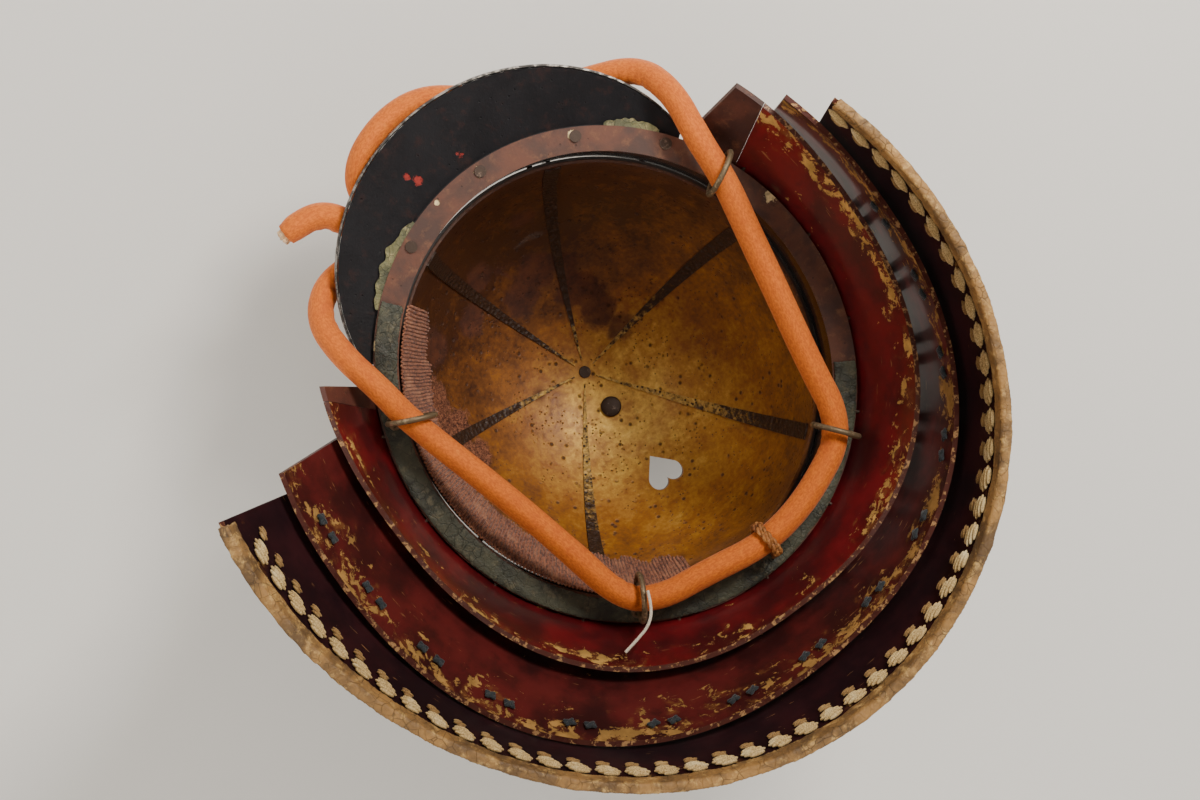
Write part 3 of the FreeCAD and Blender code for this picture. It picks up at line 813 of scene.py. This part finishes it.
@dataclass
class ChinCord:
    """A padded crepe tube threaded through four rings, tucked in at one end and frayed at the other."""

    radius_mm: float = 6.0
    step_mm: float = 1.1
    sides: int = 30
    route: tuple = (
        (-42, -120, 13), (-46, -133, 10), (-37, -146, 4), (-18, -153, 3), (2, -152, 4),
        (20, -139, 8), (42, -124, 9), (67, -116, 10), (90, -106, 4), (93, -88, -12),
        (89, -66, -17), (88, -45, -16.5), (83, -22, -20), (77, 8, -21), (71, 40, -19),
        (66, 79, -15), (36, 93, -16), (8, 98.7, -16), (-22, 93, -16), (-45, 90, -14),
        (-60, 79, -14), (-66, 45, -19), (-76, 3, -19), (-88, -41, -14), (-90, -60, -19),
        (-94, -80, -15), (-94, -98, -1), (-82, -110, 9), (-64, -110, 9), (-55, -120, 8),
        (-60, -133, 5), (-70, -139, 4), (-82, -138, 4))
    tie_route: tuple = ((-49, 81, -28), (-52, 88, -30), (-58, 93, -32), (-66, 95, -31), (-73, 96, -32))
    line: list = field(default_factory=list)

    def build(self) -> None:
        """Makes the cord, its frayed end, the thong round it and the tie on one ring."""
        self.line = even_steps(nurbs_line("cord_route", self.route), self.step_mm * MM)
        cord = tube_along("chin_cord_tube", self.line, self.girth, self.sides, self.pucker)
        tip = self.frayed_end()
        finish_piece(cord, OrangeCrepe(), Body.HELMET, "orange_crepe", "chin_cord")
        frayed = Fibres("frayed_lining", (0.84, 0.62, 0.36), (0.45, 0.20, 0.07), (0.95, 0.80, 0.56), 0.5)
        finish_piece(tip, frayed, Body.HELMET, "orange_crepe")
        self.thong()
        self.tie()

    def girth(self, i: int, turn: float, inward: float) -> float:
        """The tube's radius: soft lumps, puckers inside a bend, and narrower ends."""
        place = self.line[i] / (22 * MM)
        lump = 0.035 * noise.noise(place + Vector((0, 0, turn * 0.35)))
        seam = 0.022 * math.cos(turn * 2 + i * 0.012)
        tight = min(1.0, max(0.0, inward - 12.0) / 45.0)
        wave = noise.noise(Vector((i * self.step_mm / 3.1, turn * 0.8, 7.0)))
        pucker = tight * (0.14 * wave - 0.05)
        ends = min(i, len(self.line) - 1 - i) * self.step_mm
        taper = 0.82 + 0.18 * min(1.0, ends / 5.0)
        return self.radius_mm * MM * (0.985 + lump + seam + pucker) * taper

    def pucker(self, i: int, inward: float) -> float:
        """How dark the painted shade in a crease is inside a bend."""
        tight = min(1.0, max(0.0, inward - 14.0) / 40.0)
        return tight * max(0.0, -noise.noise(Vector((i * self.step_mm / 3.1, 0.4, 7.0)))) * 2.2

    def frayed_end(self) -> bpy.types.Object:
        """Threads and padding that stand out of the open end."""
        end, way = self.line[-1], (self.line[-1] - self.line[-4]).normalized()
        tufts = []
        side = way.orthogonal().normalized()
        for k in range(15):
            lean = 0.25 + 0.55 * (k % 5) / 4
            out = (Matrix.Rotation(2.4 * k, 3, way) @ side) * lean
            root = end + out * (self.radius_mm * 0.62 * MM)
            reach = (3.2 + 2.6 * abs(noise.noise(Vector((k * 1.7, 0, 0))))) * MM
            put_down_all()
            bpy.ops.mesh.primitive_cone_add(vertices=7, radius1=1.9 * MM, radius2=0.5 * MM, depth=reach,
                                            end_fill_type="TRIFAN")
            tuft = bpy.context.active_object
            tuft.location = root + way * (reach * 0.28)
            tuft.rotation_euler = (way + out * 0.55).to_track_quat("Z", "Y").to_euler()
            settle(tuft)
            tufts.append(tuft)
        whole = joined(tufts, "chin_cord_frayed_end")
        apply_modifier(whole, "REMESH", mode="VOXEL", voxel_size=0.45 * MM)
        lumpy(whole, 0.55, 1.6, 3.0)
        smooth(whole, 60)
        return whole

    def thong(self) -> None:
        """A twisted leather thong hitched twice round the cord and tied up to the flange."""
        middle = self.line[min(range(len(self.line)), key=lambda i: (self.line[i] - Vector((8, 97, -16)) * MM).length)]
        index = self.line.index(middle)
        way = (self.line[index + 3] - self.line[index - 3]).normalized()
        if way.x < 0:
            way = -way
        up = Vector((0, 0, 1))
        side = way.cross(up).normalized()
        coil = []
        turns, radius = 2.0, 7.95 * MM
        for k in range(int(turns * 16) + 1):
            turn = 2 * math.pi * k / 16 + 0.9
            along = way * ((k / (turns * 16) - 0.5) * 3.6 * MM)
            coil.append(middle + along + (up * math.cos(turn) + side * math.sin(turn)) * radius)
        tail = coil[-1]
        coil += [tail + Vector((0.4, 2.0, 3.0)) * MM, Vector((8.5, 106.5, -7.0)) * MM, Vector((8.0, 108.0, -1.8)) * MM]
        loose = [coil[0], coil[0] + Vector((-1.2, 3.2, 1.2)) * MM, coil[0] + Vector((-5.0, 6.0, 3.4)) * MM,
                 coil[0] + Vector((-9.5, 5.5, 5.0)) * MM]
        pieces = []
        for number, line in enumerate((coil, loose)):
            steps = even_steps(line, 0.5 * MM)
            for strand in range(2):
                path = self.twisted(steps, 0.72 * MM, strand * math.pi)
                pieces.append(tube_along("thong_%d_%d" % (number, strand), path, lambda i, t, b: 0.82 * MM, 8))
        whole = joined(pieces, "thong_hitch")
        leather = WornLeather("thong_leather", (0.50, 0.20, 0.045), (0.20, 0.07, 0.02), (0.66, 0.33, 0.10))
        finish_piece(whole, leather, Body.HELMET, "thong_leather", "thong_loop")

    @staticmethod
    def twisted(line: Sequence[Vector], offset: float, start: float) -> list[Vector]:
        """A strand that winds round a line."""
        path = []
        for i, centre in enumerate(line):
            way = (line[min(i + 1, len(line) - 1)] - line[max(i - 1, 0)]).normalized()
            side = way.orthogonal().normalized() if i == 0 else (side - way * side.dot(way)).normalized()
            path.append(centre + (Matrix.Rotation(start + i * 0.42, 3, way) @ side) * offset)
        return path

    def tie(self) -> None:
        """The white string left on one ring."""
        line = even_steps(nurbs_line("tie_route", self.tie_route), 0.5 * MM)
        string = tube_along("ring_tie_string", line, lambda i, t, b: 0.7 * MM, 10)
        cotton = Fibres("white_string", (0.86, 0.80, 0.68), (0.55, 0.46, 0.34), (0.95, 0.92, 0.84), 0.4)
        finish_piece(string, cotton, Body.RING_BACK_RIGHT, "white_string", "ring_tie")


# --- The neck guard's soft trim ---


@dataclass
class NeckGuardTrim:
    """Stitches, leather edging, lace knots and laces of the neck guard."""

    frame: dict
    indigo: Finish = Fibres(
        "indigo_braid", (0.012, 0.022, 0.030), (0.003, 0.006, 0.009), (0.030, 0.040, 0.042), 0.7)

    def build(self) -> None:
        """Makes each kind of trim."""
        cream = Fibres("cream_stitch", (0.80, 0.61, 0.28), (0.36, 0.22, 0.07), (0.92, 0.80, 0.48), 0.5)
        golden = Fibres("golden_stitch", (0.42, 0.25, 0.075), (0.18, 0.095, 0.03), (0.62, 0.42, 0.16), 0.5)
        large = self.stitched(self.leaf_stitch(4, 0.50), "lame_3_large_stitches", "large_leaf_stitches", 1.08)
        finish_piece(large, cream, Body.LAME_3, "cream_stitch", "lame_3_large_stitches")
        small = self.stitched(self.leaf_stitch(3, 0.40), "lame_3_small_stitches", "small_oval_stitches", 1.0)
        finish_piece(small, golden, Body.LAME_3, "cream_stitch", "lame_3_small_stitches")
        self.binding()
        self.knots()
        self.laces()

    def leaf_stitch(self, strands: int, lean: float) -> bpy.types.Object:
        """One stitch of side-by-side strands that slant across a unit ellipsoid, its length along x."""
        parts = []
        for k in range(strands):
            across = (k - (strands - 1) / 2) / ((strands - 1) / 2) * 0.76
            length = math.sqrt(1 - across * across) + 0.06
            put_down_all()
            bpy.ops.mesh.primitive_uv_sphere_add(segments=8, ring_count=7, radius=1.0)
            strand = bpy.context.active_object
            strand.rotation_euler = (0, math.pi / 2, 0)
            settle(strand)
            strand.scale = (length, 0.93 / strands, 0.90 - 0.30 * across * across)
            strand.location = (0.05 * (k % 2), across, 0.0)
            settle(strand)
            parts.append(strand)
        stitch = joined(parts, "stitch_model")
        stitch.rotation_euler = (0, 0, lean)
        settle(stitch)
        smooth(stitch, 70)
        return stitch

    def stitched(self, model: bpy.types.Object, node: str, name: str, grow: float) -> bpy.types.Object:
        """Copies of one stitch at each solid of a CAD node, each a little different."""
        copies = []
        for k, part in enumerate(islands(self.frame, node)):
            vary = noise.noise(Vector((k * 0.83, 1.7, 0.0)))
            size = Matrix.Diagonal((part.half[0] * (grow + 0.10 * vary), part.half[1] * grow * (1.04 - 0.10 * vary),
                                    part.half[2] * 0.98, 1.0))
            lean = Matrix.Rotation(0.16 * noise.noise(Vector((k * 1.31, 5.0, 0.0))), 4, "Z")
            copy = bpy.data.objects.new("%s_%d" % (name, k), model.data.copy())
            bpy.context.scene.collection.objects.link(copy)
            copy.data.transform(part.turn() @ lean @ size)
            copies.append(copy)
        bpy.data.objects.remove(model)
        return joined(copies, name)

    def binding(self) -> None:
        """The leather edging, uneven in width, folded and rubbed."""
        edging = node_copy(self.frame, "lame_3_binding", "leather_edging")
        apply_modifier(edging, "REMESH", mode="VOXEL", voxel_size=0.85 * MM)
        apply_modifier(edging, "SMOOTH", factor=0.5, iterations=3)
        lumpy(edging, 0.50, 9.0, 2.0)
        smooth(edging, 60)
        tan = WornLeather("tan_leather", (0.34, 0.185, 0.055), (0.12, 0.068, 0.026), (0.56, 0.36, 0.125))
        finish_piece(edging, tan, Body.LAME_3, "tan_leather", "lame_3_binding")

    def knots(self) -> None:
        """Lace knots: a flat loop with a crossing strand over it."""
        strands = []
        for lean, size in ((0.75, (1.05, 0.42, 0.95)), (-0.75, (1.05, 0.42, 0.80)), (0.0, (0.85, 0.55, 0.55))):
            put_down_all()
            bpy.ops.mesh.primitive_uv_sphere_add(segments=10, ring_count=8, radius=1.0)
            strand = bpy.context.active_object
            strand.scale, strand.rotation_euler = size, (0, 0, lean)
            settle(strand)
            strands.append(strand)
        model = joined(strands, "knot_model")
        parts = []
        for k, part in enumerate(islands(self.frame, "lame_2_knots")):
            turn = Matrix.Rotation(0.25 * noise.noise(Vector((k * 0.9, 2.0, 0.0))), 4, "Z")
            copy = bpy.data.objects.new("knot_%d" % k, model.data.copy())
            bpy.context.scene.collection.objects.link(copy)
            copy.data.transform(part.turn() @ turn @ Matrix.Diagonal((*part.half, 1.0)))
            parts.append(copy)
        bpy.data.objects.remove(model)
        knots = joined(parts, "lace_knots")
        smooth(knots, 60)
        finish_piece(knots, self.indigo, Body.LAME_2, "indigo_lace", "lame_2_knots")

    def laces(self) -> None:
        """The laces between the lames."""
        for node, name, upper, lower, start, end in (
                ("laces_upper", "upper_lace_braids", Body.HELMET, Body.LAME_2, -6.0, -14.0),
                ("laces_lower", "lower_lace_braids", Body.LAME_2, Body.LAME_3, -38.5, -44.5)):
            braid = node_copy(self.frame, node, name)
            edit(braid, lambda: bpy.ops.mesh.bevel(offset=0.28 * MM, segments=2, affect="EDGES"))
            edit(braid, lambda: bpy.ops.mesh.subdivide(number_cuts=3))
            smooth(braid, 50)
            coat(braid, self.indigo)
            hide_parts(node)
            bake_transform(braid)
            LOG.info("piece %s between %s and %s", name, upper.value, lower.value)


# --- Rim: lining and leather ---


@dataclass
class RimTrim:
    """The lining's remains, the leather under the flange and the torn strips beside the visor."""

    frame: dict
    low_a: float = 94.9
    low_z: float = 0.2
    top_a: float = 78.6
    top_z: float = 37.0
    first: float = 195.0
    last: float = 325.0
    ribs: int = 128
    filler_first: float = 53.5
    filler_last: float = 303.0
    flange_a: float = 108.6
    tuck: float = 4.0
    pale_leather: Finish = WornLeather(
        "pale_torn_leather", (0.16, 0.155, 0.065), (0.060, 0.064, 0.030), (0.36, 0.31, 0.15))

    def build(self) -> None:
        """Makes each piece."""
        self.lining()
        self.edge_leather()
        self.torn_strips()
        self.gap_shade_filler()

    def wall(self, angle: float, rise: float, out: float = 0.0) -> Vector:
        """A point of the lining's wall at an angle from the front and a share of its height."""
        turn = math.radians(angle)
        a = self.low_a + (self.top_a - self.low_a) * rise + out
        r = 1.0 / math.hypot(math.sin(turn) / a, math.cos(turn) / (a * RIM_BOW))
        return Vector((r * math.sin(turn), -r * math.cos(turn), self.low_z + (self.top_z - self.low_z) * rise)) * MM

    def lining(self) -> None:
        """A ribbed cloth with a ragged upper edge."""
        across, up = 900, 22
        points, faces = [], []
        for i in range(across + 1):
            share = i / across
            angle = self.first + (self.last - self.first) * share
            torn = 0.80 + 0.16 * noise.noise(Vector((share * 17, 0, 0)))
            torn += 0.10 * noise.noise(Vector((share * 71, 3, 0)))
            torn *= 0.70 + 0.30 * min(1.0, share * 9, (1 - share) * 9)
            for j in range(up + 1):
                rise = torn * j / up
                rib = 1.05 * math.sin(share * 2 * math.pi * self.ribs + 1.6 * noise.noise(Vector((share * 34, rise * 3, 0))))
                rough = (0.7 * noise.noise(Vector((share * 150, rise * 9, 2.0)))
                         + 0.35 * noise.noise(Vector((share * 420, rise * 14, 5.0))))
                points.append(self.wall(angle, rise, 0.2 + 0.45 * (rib + rough)))
        for i in range(across):
            for j in range(up):
                a = i * (up + 1) + j
                faces.append((a, a + 1, a + up + 2, a + up + 1))
        cloth = new_mesh("lining_remains", points, faces)
        apply_modifier(cloth, "SOLIDIFY", thickness=0.5 * MM, offset=0.0)
        smooth(cloth, 80)
        hemp = Fibres("hemp_lining", (0.36, 0.135, 0.065), (0.085, 0.022, 0.014), (0.50, 0.24, 0.13), 1.1,
                      (1.0, 1.0, 0.35))
        finish_piece(cloth, hemp, Body.HELMET, "liner_cloth", "liner_cloth")

    def edge_leather(self) -> None:
        """The strip of leather under the flange, swollen and cracked with age."""
        strip = node_copy(self.frame, "liner_edge_band", "rim_leather_strip")
        apply_modifier(strip, "REMESH", mode="VOXEL", voxel_size=0.9 * MM)
        apply_modifier(strip, "SMOOTH", factor=0.5, iterations=2)
        lumpy(strip, 0.55, 8.0, 5.0)
        smooth(strip, 60)
        green = WornLeather("green_leather", (0.058, 0.062, 0.038), (0.022, 0.025, 0.018), (0.105, 0.095, 0.055))
        finish_piece(strip, green, Body.HELMET, "green_leather", "liner_edge_band")

    def gap_shade_filler(self) -> None:
        """Dark lacquer that closes the joint above the flange and the uppermost lame: painted shade, a dark piece put
        where the gap shows only shadow.
        """
        points, faces = [], []
        count = 180
        for i in range(count + 1):
            angle = self.filler_first + (self.filler_last - self.filler_first) * i / count
            turn = math.radians(angle)
            for a, z in ((103.6, 3.05), (109.6, 3.05), (109.2, 3.65), (104.0, 3.65)):
                r = 1.0 / math.hypot(math.sin(turn) / a, math.cos(turn) / (a * RIM_BOW))
                wave = 0.12 * noise.noise(Vector((angle * 0.5, a, z)))
                points.append(Vector((r * math.sin(turn), -r * math.cos(turn), z + wave)) * MM)
        for i in range(count):
            for k in range(4):
                a, b = i * 4 + k, i * 4 + (k + 1) % 4
                faces.append((a, a + 4, b + 4, b))
        faces += [(0, 1, 2, 3), tuple(count * 4 + k for k in (3, 2, 1, 0))]
        filler = new_mesh("rim_gap_shade_lacquer", points, faces)
        smooth(filler, 40)
        # Painted shade: this dark lacquer stands where the gap is only in shadow.
        finish_piece(filler, PlainLacquer("gap_shade_lacquer", (0.030, 0.016, 0.012), (0.012, 0.009, 0.008),
                                          (0.07, 0.035, 0.022)), Body.HELMET, "rust_lacquer")

    def torn_strips(self) -> None:
        """Pale torn leather that shows between the visor and the flange."""
        for name, first, last, wide in (("torn_strip_left", 33.0, 46.0, 3.2), ("torn_strip_right", -38.5, -17.0, 4.2)):
            points, faces = [], []
            count = 48
            for i in range(count + 1):
                share = i / count
                turn = math.radians(first + (last - first) * share)
                rim = self.flange_a / math.hypot(math.sin(turn), math.cos(turn) / RIM_BOW)
                ragged = 0.75 + 0.6 * noise.noise(Vector((share * 9, wide, 0)))
                reach = wide * math.sin(math.pi * min(1.0, share * 1.02)) ** 0.6 * ragged
                for j in range(5):
                    r = rim - self.tuck + (reach + self.tuck) * j / 4
                    lift = 0.35 * noise.noise(Vector((share * 14, j * 0.9, wide)))
                    height = 1.1 + lift - 0.10 * max(0.0, r - rim)
                    points.append(Vector((r * math.sin(turn), -r * math.cos(turn), height)) * MM)
            for i in range(count):
                for j in range(4):
                    a = i * 5 + j
                    faces.append((a, a + 5, a + 6, a + 1))
            strip = new_mesh(name, points, faces)
            apply_modifier(strip, "SOLIDIFY", thickness=0.5 * MM, offset=1.0)
            smooth(strip, 70)
            finish_piece(strip, self.pale_leather, Body.HELMET, "green_leather")


# --- Hard parts that keep their CAD meshes ---


@dataclass
class HardParts:
    """Lacquered plates and metal, which keep their shapes and get their finishes."""

    frame: dict

    def dress(self) -> None:
        """Gives each shown CAD node its material."""
        iron = AgedMetal("dark_iron", (0.05, 0.032, 0.024), (0.22, 0.16, 0.12))
        bronze = AgedMetal("ring_bronze", (0.17, 0.125, 0.072), (0.50, 0.39, 0.24), 0.50)
        flange = PlainLacquer(
            "rust_lacquer", (0.112, 0.037, 0.019), (0.052, 0.022, 0.016), (0.17, 0.075, 0.036), 0.25, 0.04,
            chips=(((3.5, -110, 0), 2.6), ((47, -99, 0), 2.4), ((89, -62, 0), 2.8), ((-79, -75, 0), 3.4),
                   ((104, -24, 0), 3.2), ((109, 10, 0), 2.2), ((-20, -110, 0), 1.5)),
            chip_colour=(0.80, 0.64, 0.34), wall_black_above=0.6)
        visor = PlainLacquer(
            "visor_lacquer", (0.0065, 0.0065, 0.0090), (0.0035, 0.0035, 0.0055), (0.024, 0.009, 0.008), 0.50, 0.03,
            chips=(((-21, -123, -1), 2.6), ((-24, -127, -2), 2.0), ((-18, -120, -1), 1.5), ((1, -121, -1), 2.4),
                   ((4, -124, -2), 1.5)),
            chip_colour=(0.30, 0.035, 0.028), specular=0.22)
        finishes = {
            "bowl_plate": GildedBowl(), "seam_strip": SeamLacquer(),
            "bowl_rib": PlainLacquer("black_lacquer", (0.016, 0.013, 0.013), (0.008, 0.007, 0.007),
                                     (0.035, 0.020, 0.014), 0.6, 0.5),
            "crown_": iron, "neck_band_rivets": iron, "visor_rivets": iron, "lame_1_rivets": iron,
            "neck_band": flange,
            "visor_edge": AgedMetal("visor_edge_metal", (0.045, 0.042, 0.040), (0.28, 0.265, 0.245), 0.46),
            "visor": visor,
            "lame_1_": PlainLacquer("brown_leather", (0.085, 0.026, 0.018), (0.040, 0.014, 0.011),
                                    (0.15, 0.058, 0.028), 0.40, 0.2),
            "lame_1": LeafLacquer("red_lacquer", (0.160, 0.007, 0.011), (0.052, 0.005, 0.007), -32.0, 3.0, 0.022),
            "lame_2": LeafLacquer("maroon_lacquer", (0.095, 0.012, 0.011), (0.030, 0.006, 0.006), -60.0, -14.0, 0.040, 0.25,
                                  (0.50, 0.29, 0.09)),
            "lame_3": LeafLacquer("dark_maroon_lacquer", (0.030, 0.008, 0.010), (0.013, 0.005, 0.007), -92.0, -44.0, -0.03, 0.12,
                                  (0.40, 0.24, 0.09)),
            "cord_ring": bronze, "ring_eye": bronze}
        for name, obj in self.frame["nodes"].items():
            if obj.hide_render:
                continue
            keys = [key for key in finishes if name.startswith(key)]
            coat(obj, finishes[max(keys, key=len)])
            LOG.info("finish %s on %s", obj.data.materials[0].name, name)


# --- Studio ---


@dataclass
class Studio:
    """The camera below the helmet, looking up into it, with soft lights and pale surfaces."""

    eye: Point = (-0.09871, -0.08760, -0.94089)
    look: Point = (0.08966, 0.09639, 0.99130)
    up: Point = (0.59716, -0.80176, 0.02395)
    lens_mm: float = 63.33
    floor_z: float = -0.0965
    above_z: float = 0.1365

    def build(self) -> None:
        """Makes the camera, the lights and the two surfaces."""
        self.camera()
        self.surface("pale_floor", 6.0, self.floor_z, 1.0)
        self.surface("pale_surface_behind_crown", 1.6, self.above_z, -1.0)
        look, up = Vector(self.look), Vector(self.up)
        right = look.cross(up).normalized()
        focus = Vector((0.01, 0.01, -0.02))
        for name, side, rise, back, power, size in (
                ("key_light", 0.42, 0.50, -0.80, 11.0, 0.28), ("fill_light", -0.70, -0.15, -0.70, 3.2, 0.7),
                ("low_light", 0.25, -0.75, -0.65, 3.2, 0.6)):
            self.lamp(name, focus + right * side + up * rise + look * back, focus, power, size)
        for name, place, power, size in (
                ("top_key", (0.7, -0.8, 0.9), 9.0, 0.7), ("top_fill", (-0.9, 0.5, 0.7), 4.0, 0.9)):
            self.lamp(name, Vector(place), focus, power, size)
        world = bpy.data.worlds.new("soft_room")
        bpy.context.scene.world = world
        world.use_nodes = True
        backdrop = world.node_tree.nodes["Background"]
        backdrop.inputs["Color"].default_value = (0.86, 0.86, 0.88, 1.0)
        backdrop.inputs["Strength"].default_value = 0.35

    def camera(self) -> None:
        """The scene's camera."""
        look, up = Vector(self.look).normalized(), Vector(self.up)
        right = look.cross(up).normalized()
        up = right.cross(look)
        data = bpy.data.cameras.new("view_into_bowl")
        data.lens, data.sensor_width = self.lens_mm, 36.0
        camera = bpy.data.objects.new("view_into_bowl", data)
        bpy.context.scene.collection.objects.link(camera)
        camera.matrix_world = Matrix.Translation(Vector(self.eye)) @ Matrix((right, up, -look)).transposed().to_4x4()
        bpy.context.scene.camera = camera

    def lamp(self, name: str, place: Vector, focus: Vector, power: float, size: float) -> None:
        """A square soft light that faces the helmet."""
        data = bpy.data.lights.new(name, "AREA")
        data.energy, data.size = power, size
        data.color = (1.0, 0.94, 0.86)
        lamp = bpy.data.objects.new(name, data)
        bpy.context.scene.collection.objects.link(lamp)
        lamp.location = place
        lamp.rotation_euler = (place - focus).to_track_quat("Z", "Y").to_euler()

    def surface(self, name: str, size: float, z: float, facing: float) -> None:
        """A pale plane that shows from one side only and casts no shadow."""
        put_down_all()
        bpy.ops.mesh.primitive_plane_add(size=size, location=(0, 0, z))
        plane = bpy.context.active_object
        plane.name = name
        if facing < 0:
            edit(plane, lambda: bpy.ops.mesh.flip_normals())
        settle(plane)
        coat(plane, StagePaint(name + "_paint"))
        plane.visible_shadow = False


def main() -> None:
    """Loads the frame, builds each class in order and notes the sizes."""
    logging.basicConfig(level=logging.INFO, format="%(message)s")
    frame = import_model()
    Studio().build()
    ChinCord().build()
    NeckGuardTrim(frame).build()
    RimTrim(frame).build()
    HardParts(frame).dress()
    bpy.context.view_layer.update()


if __name__ == "__main__":
    main()
